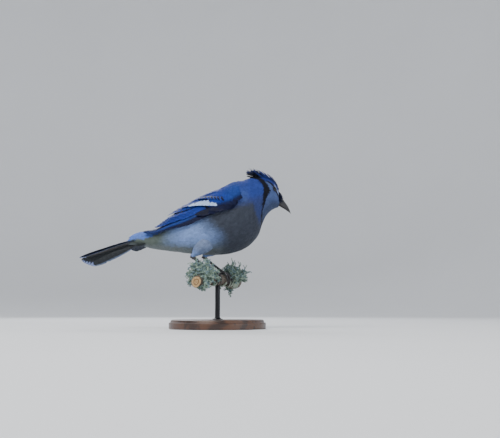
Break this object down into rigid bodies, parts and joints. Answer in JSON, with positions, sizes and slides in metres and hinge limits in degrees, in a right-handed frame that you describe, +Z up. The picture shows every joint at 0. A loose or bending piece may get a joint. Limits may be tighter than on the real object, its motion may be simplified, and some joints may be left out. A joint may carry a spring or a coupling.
{
  "type": "blue jay perched on a cut branch",
  "caption": "Still, life-size blue jay leaning forward on a short cut branch, held over a round base by a rod.",
  "frame": {"origin": "centre of the base's underside, on the surface that the model stands on", "axes": "+X the way the bird faces, +Y to the bird's left, +Z up"},
  "size_m": [0.2732, 0.124, 0.2077],
  "materials": {
    "back_plumage": "matte lavender-blue feathers",
    "collar_plumage": "matte black feathers",
    "head_plumage": "blue crest and pale face feathers",
    "belly_plumage": "soft pale grey feathers",
    "wing_feathers": "cobalt feathers with black bars and white tips",
    "tail_feathers": "barred blue above, grey below, white corners",
    "horn": "smooth dark horn",
    "leg_scales": "dark scaled skin",
    "eye": "wet, near-black",
    "bark": "rough grey-brown bark",
    "base_wood": "dark waxed wood",
    "rod_metal": "satin black"
  },
  "bodies": {
    "root": {"torso": "back_plumage", "neck": "collar_plumage", "head": "head_plumage", "bill_upper": "horn", "bill_lower": "horn", "tail": "tail_feathers", "wing_right": "wing_feathers", "wing_left": "wing_feathers", "eye_right": "eye", "eye_left": "eye", "thigh_right": "belly_plumage", "thigh_left": "belly_plumage", "leg_right": "leg_scales", "leg_left": "leg_scales", "foot_right": "leg_scales", "foot_left": "leg_scales", "claw_right_inner": "horn", "claw_right_middle": "horn", "claw_right_outer": "horn", "claw_right_hind": "horn", "claw_left_inner": "horn", "claw_left_middle": "horn", "claw_left_outer": "horn", "claw_left_hind": "horn", "perch_branch": "bark", "stand_base": "base_wood", "stand_rod": "rod_metal"}
  },
  "joints": []
}
